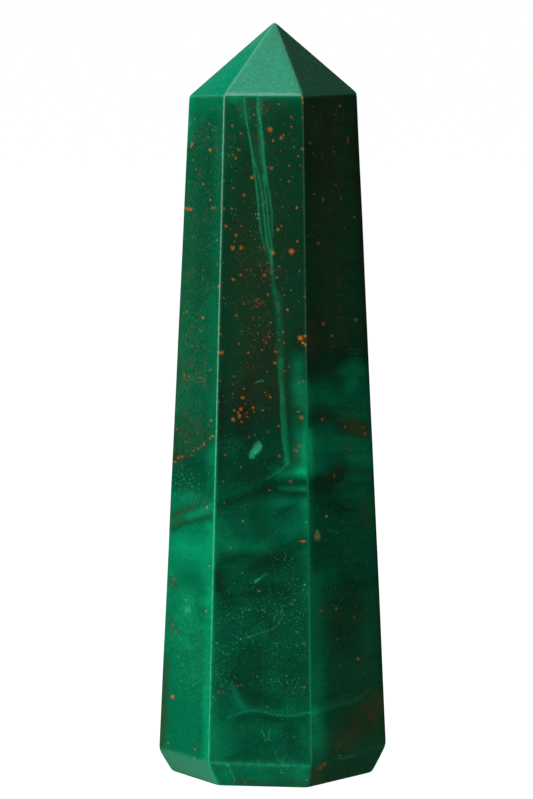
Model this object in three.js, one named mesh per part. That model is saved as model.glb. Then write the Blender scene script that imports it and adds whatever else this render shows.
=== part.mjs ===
// A bloodstone tower: one piece of stone, cut as a tapered six-sided point with a bevelled foot.
// Millimetres, +Z up. The origin is on the ground under the middle of the stone, and the widest
// of the facets that show most faces -Y.
import * as THREE from "three";
import { ConvexGeometry } from "three/addons/geometries/ConvexGeometry.js";

// Driving dimensions: height over all, and where the point ends, off the middle as a hand-cut one is
const HEIGHT = 90;
const TIP_X = 0.2;
const TIP_Y = 0;

// Softened edges: the polished ridges, shoulder and tip, and the more worn edge of the base
const EDGE_RADIUS = 0.45;
const FOOT_RADIUS = 0.9;
const ROUNDING_STEPS = 3;

// The six facets, anticlockwise seen from above. Each one faces the way that turn gives, in degrees
// from +X. reach is how far it lies from the middle at the ground, lean how far it tapers inwards,
// and flare how far the bevel below it is undercut, both in degrees from upright.
// shoulder and bevel are the heights where the ridge to the next facet ends at the top and the foot.
const FACETS = [
  { side: "left", turn: 216, reach: 12.15, lean: 2.3, flare: 26.5, shoulder: 81.3, bevel: 3.0 },
  { side: "front", turn: 270, reach: 12.45, lean: 2.5, flare: 24, shoulder: 81.3, bevel: 2.9 },
  { side: "right", turn: 332, reach: 11.6, lean: 2.2, flare: 22, shoulder: 81.5, bevel: 3.5 },
  { side: "back right", turn: 33.5, reach: 12.25, lean: 2.4, flare: 24, shoulder: 81.3, bevel: 3.1 },
  { side: "back", turn: 91.5, reach: 12.3, lean: 2.4, flare: 24, shoulder: 81.3, bevel: 3.1 },
  { side: "back left", turn: 153.5, reach: 11.6, lean: 2.4, flare: 24, shoulder: 81.1, bevel: 2.8 },
];

const STONE_COLOUR = 0x0c5a3e;
const STONE_ROUGHNESS = 0.18;

const UP = new THREE.Vector3(0, 0, 1);
const GROUND = { normal: UP.clone().negate(), distance: 0 };
const count = FACETS.length;

// Direction from a compass turn and a tilt above the horizontal, both in degrees
function direction(turn, tilt) {
  const flat = Math.cos(THREE.MathUtils.degToRad(tilt));
  const angle = THREE.MathUtils.degToRad(turn);
  const rise = Math.sin(THREE.MathUtils.degToRad(tilt));
  return new THREE.Vector3(flat * Math.cos(angle), flat * Math.sin(angle), rise);
}

// A plane moved into the stone
function inset(plane, depth) {
  return { normal: plane.normal, distance: plane.distance - depth };
}

// The one point that lies on three planes
function meeting(first, second, third) {
  const a = second.normal.clone().cross(third.normal);
  const b = third.normal.clone().cross(first.normal);
  const c = first.normal.clone().cross(second.normal);
  const scale = 1 / first.normal.dot(a);
  const point = a.multiplyScalar(first.distance * scale);
  point.addScaledVector(b, second.distance * scale);
  return point.addScaledVector(c, third.distance * scale);
}

// The long facets, from the bevel up to the shoulder
const shaft = FACETS.map(({ turn, reach, lean }) => {
  const normal = direction(turn, lean);
  return { normal, distance: reach * Math.cos(THREE.MathUtils.degToRad(lean)) };
});

// Each softened corner is a small ball that touches the facets meeting there, and the stone is
// the hull of them all. ridgeCorner is the centre of one at a height on the ridge after facet k.
function ridgeCorner(k, height) {
  const here = inset(shaft[k], EDGE_RADIUS);
  const next = inset(shaft[(k + 1) % count], EDGE_RADIUS);
  return meeting(here, next, { normal: UP, distance: height });
}

const tip = new THREE.Vector3(TIP_X, TIP_Y, HEIGHT - EDGE_RADIUS);
const shoulders = FACETS.map((facet, k) => ridgeCorner(k, facet.shoulder));
const bevelTops = FACETS.map((facet, k) => ridgeCorner(k, facet.bevel));

// The six facets of the point, each over one long facet
const pyramid = shoulders.map((end, k) => {
  const start = shoulders[(k + count - 1) % count];
  const across = end.clone().sub(start);
  const upwards = tip.clone().sub(start);
  return { normal: across.cross(upwards).normalize() };
});

// The six facets of the bevel, hinged on the lower ends of the long ones
const bevel = bevelTops.map((end, k) => {
  const start = bevelTops[(k + count - 1) % count];
  const across = end.clone().sub(start).normalize();
  const normal = direction(FACETS[k].turn, -FACETS[k].flare);
  normal.addScaledVector(across, -normal.dot(across)).normalize();
  return { normal, distance: normal.dot(end) + EDGE_RADIUS };
});

// The corners of the base, with the bevel's facets and the ground touching each ball
const feet = bevel.map((here, k) => {
  const next = bevel[(k + 1) % count];
  return meeting(inset(here, FOOT_RADIUS), inset(next, FOOT_RADIUS), inset(GROUND, FOOT_RADIUS));
});

// Points on a ball over the patch between the facets that touch it, which go round the corner in order
function softened(centre, radius, touching) {
  const normals = touching.map((facet) => facet.normal);
  const middle = new THREE.Vector3();
  normals.forEach((normal) => middle.add(normal));
  middle.normalize();
  const points = [];
  normals.forEach((normal, i) => {
    const following = normals[(i + 1) % normals.length];
    for (let inward = 0; inward <= ROUNDING_STEPS; inward++) {
      for (let along = 0; along <= ROUNDING_STEPS - inward; along++) {
        const towards = middle.clone().multiplyScalar(inward);
        towards.addScaledVector(following, along);
        towards.addScaledVector(normal, ROUNDING_STEPS - inward - along);
        points.push(centre.clone().addScaledVector(towards.normalize(), radius));
      }
    }
  });
  return points;
}

function stoneGeometry() {
  const points = softened(tip, EDGE_RADIUS, pyramid);
  for (let k = 0; k < count; k++) {
    const next = (k + 1) % count;
    const atShoulder = [shaft[k], shaft[next], pyramid[next], pyramid[k]];
    const atBevel = [shaft[k], shaft[next], bevel[next], bevel[k]];
    const atFoot = [bevel[k], bevel[next], GROUND];
    points.push(...softened(shoulders[k], EDGE_RADIUS, atShoulder));
    points.push(...softened(bevelTops[k], EDGE_RADIUS, atBevel));
    points.push(...softened(feet[k], FOOT_RADIUS, atFoot));
  }
  return new ConvexGeometry(points);
}

function tower() {
  const geometry = stoneGeometry();
  geometry.computeBoundingBox();
  const middle = geometry.boundingBox.getCenter(new THREE.Vector3());
  geometry.translate(-middle.x, -middle.y, 0);
  const material = new THREE.MeshStandardMaterial({
    color: STONE_COLOUR,
    roughness: STONE_ROUGHNESS,
    metalness: 0,
  });
  const mesh = new THREE.Mesh(geometry, material);
  mesh.name = "tower";
  return mesh;
}

const stone = new THREE.Group();
stone.add(tower());

export default stone;
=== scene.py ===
"""The looks of a bloodstone tower: a polished, hand-cut stone standing on a white studio floor.

Lengths are in millimetres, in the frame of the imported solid, and reach Blender through MM.
The stone's marks are given where they show in the picture's frame, in its pixels: the camera
casts each of them onto the stone, and its size is then a real one.
"""
from math import cos, radians, sin

import bpy
import numpy as np
from mathutils import Matrix, Vector, noise


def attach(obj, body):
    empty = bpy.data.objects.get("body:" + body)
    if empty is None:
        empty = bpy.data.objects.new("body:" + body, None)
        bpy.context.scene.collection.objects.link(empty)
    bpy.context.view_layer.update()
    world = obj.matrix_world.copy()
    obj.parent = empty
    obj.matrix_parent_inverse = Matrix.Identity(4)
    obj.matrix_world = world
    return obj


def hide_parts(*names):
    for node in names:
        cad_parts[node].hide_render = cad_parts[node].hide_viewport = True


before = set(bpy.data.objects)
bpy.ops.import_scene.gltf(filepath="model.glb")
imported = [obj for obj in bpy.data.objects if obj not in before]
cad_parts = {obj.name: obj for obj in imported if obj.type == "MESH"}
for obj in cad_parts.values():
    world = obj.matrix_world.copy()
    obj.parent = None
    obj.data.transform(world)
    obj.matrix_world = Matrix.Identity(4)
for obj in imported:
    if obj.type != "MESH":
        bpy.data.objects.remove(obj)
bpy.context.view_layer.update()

MM = 0.001

# The picture's frame, in pixels, and the camera that took it
FRAME_WIDTH = 533
FRAME_HEIGHT = 799
SENSOR = 36
FOCAL_LENGTH = 207.1
FOCAL_PIXELS = FOCAL_LENGTH * FRAME_HEIGHT / SENSOR
CAMERA_TURN = 8.43
CAMERA_RISE = 4.85
CAMERA_DISTANCE = 550
AIM_HEIGHT = 45.02
AIM_ASIDE = -0.755

# How softly the stone's edges are polished: a ridge, and the more worn edge of the foot
RIDGE_SOFTNESS = 0.087
FOOT_SOFTNESS = 0.17
FOOT_ZONE = 2
ROUNDING_TURNS = 8

# Spacing of the stone's mesh, close together where it turns over an edge
EDGE_ZONE = 0.6
EDGE_STEP = 0.1
FLAT_STEP = 0.38
HEIGHT_STEP = 0.36
BASE_STEP = 1.52

# How far the hand-polished facets swell and dip, over which lengths
SWELLS = ((14, 0.03), (5, 0.008))
SWELL_LEVEL = 0.4

UP = np.array([0.0, 0.0, 1.0])
SIDES = ["left", "front", "right", "back right", "back", "back left"]
COUNT = len(SIDES)


def linked(name, data):
    """A new object in the scene."""
    thing = bpy.data.objects.new(name, data)
    bpy.context.scene.collection.objects.link(thing)
    return thing


# Camera

def camera_axes():
    """The camera's place, and its directions to the right, up and away from the stone."""
    turn, rise = radians(CAMERA_TURN), radians(CAMERA_RISE)
    back = np.array([sin(turn) * cos(rise), -cos(turn) * cos(rise), sin(rise)])
    right = np.cross(-back, UP)
    right /= np.linalg.norm(right)
    aim = right * AIM_ASIDE + UP * AIM_HEIGHT
    return aim + back * CAMERA_DISTANCE, right, np.cross(back, right), back


def make_camera():
    place, right, up, back = camera_axes()
    data = bpy.data.cameras.new("camera")
    data.lens = FOCAL_LENGTH
    data.sensor_width = SENSOR
    data.clip_start = 0.01
    data.clip_end = 100
    camera = linked("camera", data)
    turn = Matrix((right, up, back)).transposed().to_4x4()
    camera.matrix_world = Matrix.Translation(Vector(place * MM)) @ turn
    bpy.context.scene.camera = camera


def seen_at(points):
    """Where points show in the picture's frame, in pixels across and down."""
    place, right, up, back = camera_axes()
    away = points - place
    scale = -FOCAL_PIXELS / (away @ back)
    return FRAME_WIDTH / 2 + scale * (away @ right), FRAME_HEIGHT / 2 - scale * (away @ up)


def cast(pixels):
    """The points of the sharp stone that show at those places in the picture's frame."""
    place, right, up, back = camera_axes()
    pixels = np.array(pixels, dtype=float)
    across = (pixels[:, :1] - FRAME_WIDTH / 2) / FOCAL_PIXELS
    down = (pixels[:, 1:] - FRAME_HEIGHT / 2) / FOCAL_PIXELS
    rays = across * right - down * up - back
    towards = rays @ NORMALS.T
    reach = (DISTANCES - NORMALS @ place) / towards
    reach[towards > -1e-6] = -np.inf
    return place + rays * reach.max(axis=1)[:, None]


# The stone's shape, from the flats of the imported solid

def flat_faces(node, least_area=20):
    """Outward normals and distances from the origin of a solid's flats of at least that area."""
    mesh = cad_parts[node].data
    found = []
    for face in sorted(mesh.polygons, key=lambda face: -face.area):
        for flat in found:
            if flat["normal"].dot(face.normal) > 0.99999:
                flat["area"] += face.area
                break
        else:
            distance = face.normal.dot(face.center) / MM
            found.append({"normal": face.normal.copy(), "distance": distance, "area": face.area})
    kept = [flat for flat in found if flat["area"] > least_area * MM * MM]
    return np.array([flat["normal"] for flat in kept]), np.array([flat["distance"] for flat in kept])


def sorted_flats(normals, distances):
    """The flats in order: six of the shaft, six of the bevel, six of the point and the base."""
    order = []
    for low, high in ((-0.2, 0.2), (-0.8, -0.2), (0.2, 0.9), (-1.1, -0.8)):
        chosen = np.flatnonzero((normals[:, 2] > low) & (normals[:, 2] < high))
        turn = np.arctan2(normals[chosen, 1], normals[chosen, 0])
        order += list(chosen[np.argsort(turn)])
    return normals[order], distances[order]


NORMALS, DISTANCES = sorted_flats(*flat_faces("tower"))


def meeting(*chosen):
    """The point on three flats."""
    return np.linalg.solve(NORMALS[list(chosen)], DISTANCES[list(chosen)])


def stone_corners():
    """Rings of sharp corners at the foot, the bevel and the shoulder, and the tip.

    Corner k of a ring is where the facets k and k + 1 meet.
    """
    bevel, point, base = COUNT, 2 * COUNT, 3 * COUNT
    foot, low, high = [], [], []
    for k in range(COUNT):
        after = (k + 1) % COUNT
        foot.append(meeting(bevel + k, bevel + after, base))
        low.append(np.mean([meeting(k, after, bevel + i) for i in (k, after)], axis=0))
        high.append(np.mean([meeting(k, after, point + i) for i in (k, after)], axis=0))
    tip = np.linalg.lstsq(NORMALS[point:base], DISTANCES[point:base], rcond=None)[0]
    return np.array(foot), np.array(low), np.array(high), tip


def spread(length, step):
    """Shares from 0 to 1 of a length, close together near both ends."""
    near = np.arange(0, EDGE_ZONE, EDGE_STEP)
    middle = np.linspace(EDGE_ZONE, length - EDGE_ZONE, max(2, round((length - 2 * EDGE_ZONE) / step)))
    return np.concatenate([near, middle, (length - near)[::-1]]) / length


def ring_between(start, end, share, across):
    """A ring of points on the facets, at a share of the way from one ring of corners to another."""
    corners = start + (end - start) * share
    before = np.roll(corners, 1, axis=0)
    return (before[:, None] + (corners - before)[:, None] * across[None, :-1, None]).reshape(-1, 3)


def stone_rings(foot, low, high, tip):
    """Rings of points over the whole sharp stone, from the middle of the base to the tip."""
    width = np.linalg.norm(low[1] - low[0])
    across = spread(width, FLAT_STEP)
    middle = foot.mean(axis=0)
    rings = [ring_between(middle, foot, share, across) for share in spread(width, BASE_STEP)[1:-1]]
    for start, end in ((foot, low), (low, high), (high, np.tile(tip, (COUNT, 1)))):
        shares = spread(np.linalg.norm(end[0] - start[0]), HEIGHT_STEP)
        rings += [ring_between(start, end, share, across) for share in shares[:-1]]
    return np.array(rings), middle, tip


def wobble(points, size, seed=0):
    """Smooth noise from about -1 to 1 at each point, with waves of about that size."""
    shift = Vector((31.7, 17.3, 5.1)) * seed
    return np.array([noise.noise(Vector(point) / size + shift) for point in points])


def softened(points, softness):
    """Points of the sharp stone moved in to its rounded surface, with each flat's share in them."""
    for _ in range(ROUNDING_TURNS):
        over = (points @ NORMALS.T - DISTANCES) / softness[:, None]
        top = over.max(axis=1, keepdims=True)
        share = np.exp(over - top)
        total = share.sum(axis=1, keepdims=True)
        share /= total
        outwards = share @ NORMALS
        height = softness * (top + np.log(total))[:, 0]
        points = points - outwards * (height / (outwards ** 2).sum(axis=1))[:, None]
    return points, share


def stone_faces(ring_count, ring_size):
    """Faces over the rings, with the middle of the base and the tip as the last two points."""
    middle = ring_count * ring_size
    tip = middle + 1
    here = np.arange(ring_size)
    after = np.roll(here, -1)
    faces = [(middle, b, a) for a, b in zip(here, after)]
    for ring in range(ring_count - 1):
        low, high = ring * ring_size, (ring + 1) * ring_size
        faces += list(zip(here + low, after + low, after + high, here + high))
    last = (ring_count - 1) * ring_size
    faces += [(a, b, tip) for a, b in zip(here + last, after + last)]
    return [tuple(int(i) for i in face) for face in faces]


def stone_shape():
    """The stone's points, its faces, and the share of each flat in the points."""
    rings, middle, tip = stone_rings(*stone_corners())
    sharp = np.concatenate([rings.reshape(-1, 3), [middle, tip]])
    near_foot = np.clip(1 - sharp[:, 2] / FOOT_ZONE, 0, 1)
    softness = RIDGE_SOFTNESS + (FOOT_SOFTNESS - RIDGE_SOFTNESS) * near_foot
    points, share = softened(sharp, softness)
    outwards = share @ NORMALS
    outwards /= np.linalg.norm(outwards, axis=1, keepdims=True)
    swell = 0
    for seed, (size, depth) in enumerate(SWELLS):
        swell = swell + depth * (wobble(points, size, seed) - SWELL_LEVEL)
    swell *= 1 - share[:, -1]
    return points + outwards * swell[:, None], stone_faces(*rings.shape[:2]), share


# Tones: how deep or bright the green is, down each facet and in bands and clouds across it.
# The tones of the sides are partly the stone's own and partly painted light and shade: lighter on the lit
# left, darker on the shaded right.

# Height in the picture's frame, in pixels, and tone from 0, black green, to 1, bright emerald
TONES_LIT_AND_SHADED = {
    "left": [
        (95, 0.7), (112, 0.62), (130, 0.54), (165, 0.5), (260, 0.5), (320, 0.55), (400, 0.55),
        (440, 0.5), (480, 0.55), (505, 0.7), (545, 0.81), (575, 0.77), (600, 0.76), (660, 0.73),
        (710, 0.71), (760, 0.72),
    ],
    "front": [
        (95, 0.58), (104, 0.42), (140, 0.32), (200, 0.28), (250, 0.23), (300, 0.23), (350, 0.2),
        (410, 0.17), (445, 0.29), (480, 0.37), (500, 0.42), (530, 0.5), (555, 0.44), (570, 0.4),
        (600, 0.4), (640, 0.46), (690, 0.46), (715, 0.54), (742, 0.59), (762, 0.53),
    ],
    "right": [
        (95, 0.07), (160, 0.07), (220, 0.15), (340, 0.17), (370, 0.22), (384, 0.42), (400, 0.51),
        (450, 0.5), (480, 0.41), (560, 0.42), (600, 0.36), (640, 0.34), (700, 0.42), (742, 0.46),
        (762, 0.31),
    ],
}
# The tone of each side of the bevel and the point, partly painted light and shade: darker on the shaded
# right
BEVEL_TONES_LIT_AND_SHADED = {"left": 0.80, "front": 0.69, "right": 0.28}
POINT_TONES_LIT_AND_SHADED = {"left": 0.89, "front": 0.90, "right": 0.50}
BASE_TONE = 0.7

# The side that each hidden one is like, how strong its clouds are, and how much is left of the bands
# there.
# A hidden side takes the tones of the side it is like, with their painted light and shade.
LIKE = {"back right": "right", "back": "front", "back left": "left"}
HIDDEN_CLOUDS = 0.14
HIDDEN_BANDS = 0.5

# Soft bands and clouds on each facet: how much brighter, half its width, its feather and its path
FRONT_BANDS = [
    (0.2, 6, 5, [(236, 99), (242, 106), (245, 118)]),
    (0.08, 5, 6, [(229, 100), (228, 160)]),
    (-0.04, 15, 10, [(284, 112), (292, 180), (292, 240)]),
    (0.05, 12, 10, [(240, 290), (240, 370)]),
    (-0.15, 4, 4, [(221, 396), (219, 425), (218, 478)]),
    (-0.03, 3, 4, [(220, 398), (218.5, 432)]),
    (-0.08, 5, 5, [(245, 392), (246, 408)]),
    (-0.08, 5, 5, [(269, 392), (270, 410)]),
    (-0.08, 6, 5, [(258, 493), (270, 487)]),
    (-0.07, 8, 8, [(246, 160), (243, 300), (262, 345), (246, 400), (240, 430)]),
    (-0.07, 9, 8, [(245, 412), (247, 444)]),
    (-0.09, 8, 8, [(249, 478), (262, 482)]),
    (-0.08, 4, 4, [(296, 410), (296, 426)]),
    (-0.15, 3, 4, [(216, 574), (216, 590)]),
    (-0.12, 5, 5, [(232, 676), (232, 688)]),
    (-0.08, 6, 6, [(246, 356), (247, 384)]),
    (-0.09, 7, 7, [(260, 276), (262, 304)]),
    (-0.09, 5, 5, [(272, 338), (276, 384)]),
    (-0.08, 4, 4, [(301, 330), (302, 348)]),
    (-0.06, 9, 8, [(286, 118), (300, 124)]),
    (0.26, 6, 8, [(300, 358), (300, 400), (302, 440), (302, 470)]),
    (0.2, 6, 7, [(295, 364), (296, 400), (299, 470)]),
    (0.24, 3, 4, [(305, 385), (306, 430), (306, 478)]),
    (-0.07, 4, 5, [(298, 396), (298, 425)]),
    (-0.1, 4, 4, [(298, 462), (304, 470)]),
    (0.08, 2.5, 3, [(304, 430), (304, 452)]),
    (0.16, 5, 6, [(297, 386), (299, 402)]),
    (0.14, 3, 4, [(304, 488), (305, 530), (306, 600)]),
    (0.26, 5, 5, [(302, 472), (290, 474), (276, 472)]),
    (-0.07, 2, 3, [(265, 485), (285, 484), (309, 483)]),
    (0.2, 3, 3, [(282, 489), (296, 489), (309, 489)]),
    (-0.11, 4, 4, [(214, 506), (235, 501), (253, 494), (271, 490), (290, 494), (309, 495)]),
    (0.18, 5, 5, [(276, 503), (296, 502), (308, 504)]),
    (-0.06, 12, 10, [(240, 470), (268, 466)]),
    (0.13, 9, 9, [(220, 524), (228, 545)]),
    (-0.12, 7, 7, [(257, 516), (262, 532)]),
    (0.1, 8, 8, [(302, 512), (292, 530)]),
    (-0.1, 3, 4, [(278, 513), (297, 504)]),
    (-0.12, 4, 5, [(214, 572), (228, 560), (250, 556), (276, 555), (290, 547), (308, 541)]),
    (-0.17, 7, 7, [(256, 566), (272, 564), (288, 559)]),
    (-0.14, 6, 6, [(218, 578), (222, 592), (230, 600)]),
    (-0.12, 7, 7, [(250, 592), (270, 590), (284, 593)]),
    (-0.12, 6, 6, [(262, 618), (272, 630)]),
    (-0.1, 13, 7, [(258, 658), (252, 674), (258, 692)]),
    (-0.09, 4, 4, [(247, 648), (237, 664), (237, 680), (246, 694)]),
    (-0.1, 8, 8, [(286, 655), (292, 668), (288, 684)]),
    (-0.12, 6, 5, [(254, 700), (276, 702)]),
    (0.08, 4, 5, [(232, 690), (241, 704), (251, 713)]),
    (0.05, 2, 3, [(229, 717), (245, 711), (256, 710), (273, 714), (292, 715), (309, 712)]),
    (-0.13, 2.5, 2.5, [(243, 716.5), (256, 714.5), (273, 719), (292, 720.5), (309, 718)]),
    (0.09, 9, 9, [(220, 730), (222, 752)]),
    (-0.1, 5, 5, [(240, 720), (275, 720), (292, 728)]),
    (-0.12, 10, 10, [(250, 745), (285, 742)]),
    (-0.1, 8, 8, [(290, 735), (298, 750)]),
    (-0.08, 9, 5, [(236, 762), (262, 762)]),
    (0.12, 5, 6, [(216, 540), (214, 580), (213, 680), (213, 758)]),
    (0.12, 7, 6, [(232, 546), (262, 549)]),
]
LEFT_BANDS = [
    (0.14, 5, 5, [(189, 98), (187, 140)]),
    (0.05, 8, 8, [(186, 160), (180, 400)]),
    (0.08, 4, 5, [(219, 130), (216, 300), (213, 460)]),
    (-0.05, 8, 8, [(208, 120), (206, 300)]),
    (0.08, 5, 6, [(209, 286), (208, 310)]),
    (0.16, 5, 5, [(214, 448), (212, 484)]),
    (0.1, 5, 5, [(190, 122), (188, 140)]),
    (0.08, 4, 4, [(169, 574), (169, 588)]),
    (-0.12, 6, 6, [(176, 458), (196, 462)]),
    (-0.12, 15, 10, [(180, 480), (206, 480)]),
    (0.12, 5, 5, [(174, 497), (188, 495)]),
    (-0.12, 2.5, 3, [(171, 516), (190, 509), (207, 500)]),
    (0.1, 4, 3, [(190, 516), (200, 512), (212, 507)]),
    (-0.03, 5, 5, [(172, 523), (180, 521)]),
    (-0.14, 2.5, 3, [(171, 529), (186, 523), (213, 517)]),
    (0.12, 6, 6, [(211, 524), (208, 600)]),
    (0.06, 9, 9, [(182, 545), (196, 552)]),
    (-0.08, 6, 7, [(170, 582), (190, 578), (206, 590)]),
    (0.07, 6, 7, [(187, 598), (188, 612)]),
    (0.1, 4, 4, [(210, 590), (208, 680), (206, 760)]),
    (0.09, 4, 4, [(207, 690), (205, 762)]),
    (-0.1, 4, 5, [(164, 660), (160, 745)]),
]
RIGHT_BANDS = [
    (0.16, 2, 2.5, [(306, 380), (308, 430)]),
    (0.3, 4, 4, [(309, 432), (310, 478)]),
    (0.13, 9, 8, [(313, 444), (316, 466)]),
    (0.16, 3, 4, [(308, 485), (309, 530), (309, 570)]),
    (0.28, 13, 10, [(309, 582), (311, 612), (312, 696)]),
    (0.34, 9, 8, [(313, 716), (315, 762)]),
    (-0.1, 10, 8, [(312, 322), (314, 366)]),
    (0.24, 6, 5, [(343, 371), (352, 366), (363, 370)]),
    (0.1, 5, 5, [(346, 386), (352, 379)]),
    (0.16, 9, 7, [(342, 366), (347, 384)]),
    (0.12, 7, 7, [(355, 356), (358, 378)]),
    (-0.14, 7, 7, [(341, 356), (341, 384)]),
    (0.1, 4, 4, [(309, 388), (310, 412)]),
    (-0.1, 5, 5, [(342, 427), (347, 430)]),
    (0.08, 4, 4, [(311, 486), (312, 530)]),
    (0.09, 8, 7, [(368, 598), (371, 640)]),
    (0.08, 8, 8, [(324, 392), (330, 397)]),
    (0.07, 12, 10, [(344, 110), (350, 220), (352, 340)]),
    (0.06, 12, 10, [(352, 630), (356, 670)]),
    (-0.26, 8, 8, [(314, 415), (328, 416)]),
    (-0.16, 6, 6, [(339, 424), (366, 430)]),
    (0.06, 8, 8, [(320, 446), (370, 446)]),
    (-0.26, 7, 7, [(314, 484), (326, 481), (340, 474)]),
    (0.14, 7, 6, [(354, 459), (367, 461)]),
    (-0.04, 7, 7, [(337, 464), (340, 466)]),
    (0.08, 7, 7, [(363, 494), (368, 506)]),
    (0.16, 3, 4, [(348, 478), (366, 479)]),
    (0.08, 4, 4, [(345, 498), (364, 494)]),
    (-0.12, 10, 10, [(322, 498), (342, 512)]),
    (-0.06, 8, 8, [(320, 545), (334, 552)]),
    (0.06, 8, 8, [(331, 575), (333, 590)]),
    (0.07, 8, 8, [(366, 632), (371, 668)]),
    (-0.09, 12, 12, [(353, 580), (349, 640)]),
    (0.05, 10, 12, [(318, 690), (330, 655)]),
    (0.1, 4, 4, [(315, 711), (328, 707), (342, 702), (356, 698)]),
    (-0.1, 12, 12, [(352, 718), (375, 725)]),
    (0.12, 5, 6, [(323, 728), (326, 752)]),
    (-0.08, 9, 6, [(338, 762), (366, 757)]),
    (0.07, 5, 5, [(376, 716), (381, 738)]),
    (-0.12, 2.5, 3, [(357, 100), (371, 400), (386, 740)]),
    (-0.08, 5, 5, [(356, 110), (364, 280), (368, 350)]),
]
BANDS = {"front": FRONT_BANDS, "left": LEFT_BANDS, "right": RIGHT_BANDS}

# Brown and rust on each facet: how strong, half its width, its feather and its path
FRONT_RUSTS = [
    (0.24, 34, 18, [(262, 125), (262, 382)]),
    (0.08, 12, 14, [(252, 240), (258, 300), (264, 360), (260, 395)]),
    (0.15, 14, 14, [(242, 240), (243, 402)]),
    (0.3, 4, 4, [(298, 396), (299, 425)]),
    (0.45, 4, 4, [(297, 444), (298, 462)]),
    (0.35, 5, 6, [(276, 345), (283, 395)]),
    (0.35, 4, 5, [(305, 325), (306, 350)]),
]
LEFT_RUSTS = [
    (0.3, 9, 12, [(184, 210), (178, 330), (176, 420)]),
    (0.45, 9, 9, [(174, 440), (198, 430), (178, 456)]),
    (0.14, 18, 12, [(200, 140), (194, 420)]),
    (0.3, 2.5, 3, [(172, 461), (190, 456), (204, 445), (214, 435)]),
    (0.5, 3, 3, [(173, 516), (188, 509)]),
    (0.6, 4, 4, [(172, 526), (178, 523)]),
    (0.25, 3, 3, [(180, 522), (196, 518), (210, 514)]),
    (0.65, 4, 4, [(171, 622), (175, 631)]),
    (0.6, 4, 4, [(171, 578), (175, 588)]),
    (0.75, 4, 4, [(167, 662), (164, 700), (161, 750)]),
]
RIGHT_RUSTS = [
    (0.45, 22, 20, [(330, 120), (335, 330)]),
    (0.25, 8, 8, [(309, 104), (312, 128)]),
    (0.3, 7, 8, [(316, 370), (332, 372)]),
    (0.5, 6, 6, [(310, 326), (311, 352)]),
    (0.5, 6, 6, [(322, 412), (325, 416)]),
    (0.85, 8, 6, [(345, 425), (364, 430)]),
    (0.6, 5, 6, [(366, 505), (367, 528)]),
    (0.35, 6, 7, [(320, 612), (326, 614)]),
    (0.4, 7, 7, [(328, 477), (342, 470)]),
    (0.28, 22, 16, [(345, 610), (350, 690)]),
    (0.25, 10, 14, [(372, 600), (374, 740)]),
    (0.68, 14, 13, [(343, 741), (352, 728), (364, 716), (378, 702)]),
    (0.28, 13, 12, [(322, 764), (338, 746), (364, 742)]),
    (0.3, 6, 7, [(379, 715), (383, 748)]),
]
RUSTS = {"front": FRONT_RUSTS, "left": LEFT_RUSTS, "right": RIGHT_RUSTS}

# Rust and stains on the bevel. Over the point's right facet a dull painted reflection haze, and at its tip
# a darker patch.
BEVEL_RUSTS = {"left": 0.12, "right": 0.35}
POINT_REFLECTION_HAZES = {"right": 0.85}
TIP_DARKENING = {"front": [(0.16, 8, 8, [(272, 26), (272, 44)])]}
BEVEL_STAINS = {
    "left": [(0.25, 10, 10, [(164, 758), (176, 768)])],
    "front": [(0.7, 4, 4, [(236, 782), (270, 786), (306, 785)])],
    "right": [(0.6, 8, 5, [(315, 766), (318, 784)])],
}

# Bands across the bevel, like those of the facets
BEVEL_BANDS = {
    "front": [
        (0.09, 5, 6, [(224, 768), (230, 784)]),
        (-0.06, 8, 6, [(276, 768), (282, 784)]),
        (0.09, 6, 5, [(301, 768), (302, 785)]),
    ],
    "right": [(0.13, 6, 5, [(314, 766), (318, 784)])],
}

# How teal the facets of the point are, partly painted light: bright teal on the lit left and front facets,
# little on the shaded right one.
# The painted sheen: a painted reflection of the white floor on the left bevel, and a painted highlight
# along the outer edge of the point's left facet and at its tip.
POINT_TEALS_LIT_AND_SHADED = {"left": 0.85, "front": 0.85, "right": 0.10}
BEVEL_SHEENS = {"left": 0.65, "right": 0.03}
POINT_SHEENS = {
    "left": [
        (0.12, 8, 8, [(266, 28), (243, 50), (203, 86)]),
        (0.2, 5, 5, [(268, 28), (254, 42)]),
    ],
}


def smooth_path(path, count=8):
    """A smooth curve through the points of a path."""
    path = np.array(path, dtype=float)
    if len(path) < 3:
        return path
    padded = np.concatenate([[2 * path[0] - path[1]], path, [2 * path[-1] - path[-2]]])
    share = np.linspace(0, 1, count, endpoint=False)[:, None]
    curve = []
    for a, b, c, d in zip(padded, padded[1:], padded[2:], padded[3:]):
        bend = 2 * a - 5 * b + 4 * c - d
        turn = 3 * b - a - 3 * c + d
        curve.append((2 * b + (c - a) * share + bend * share ** 2 + turn * share ** 3) / 2)
    return np.concatenate(curve + [path[-1:]])


def distance_to_path(points, path):
    """How far each point is from the nearest stretch of a path."""
    nearest = np.full(len(points), np.inf)
    for start, end in zip(path, path[1:]):
        along = end - start
        share = np.clip((points - start) @ along / max(along @ along, 1e-9), 0, 1)
        gap = np.linalg.norm(points - start - share[:, None] * along, axis=1)
        nearest = np.minimum(nearest, gap)
    return nearest


def smoothstep(value, low, high):
    share = np.clip((value - low) / (high - low), 0, 1)
    return share * share * (3 - 2 * share)


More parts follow.
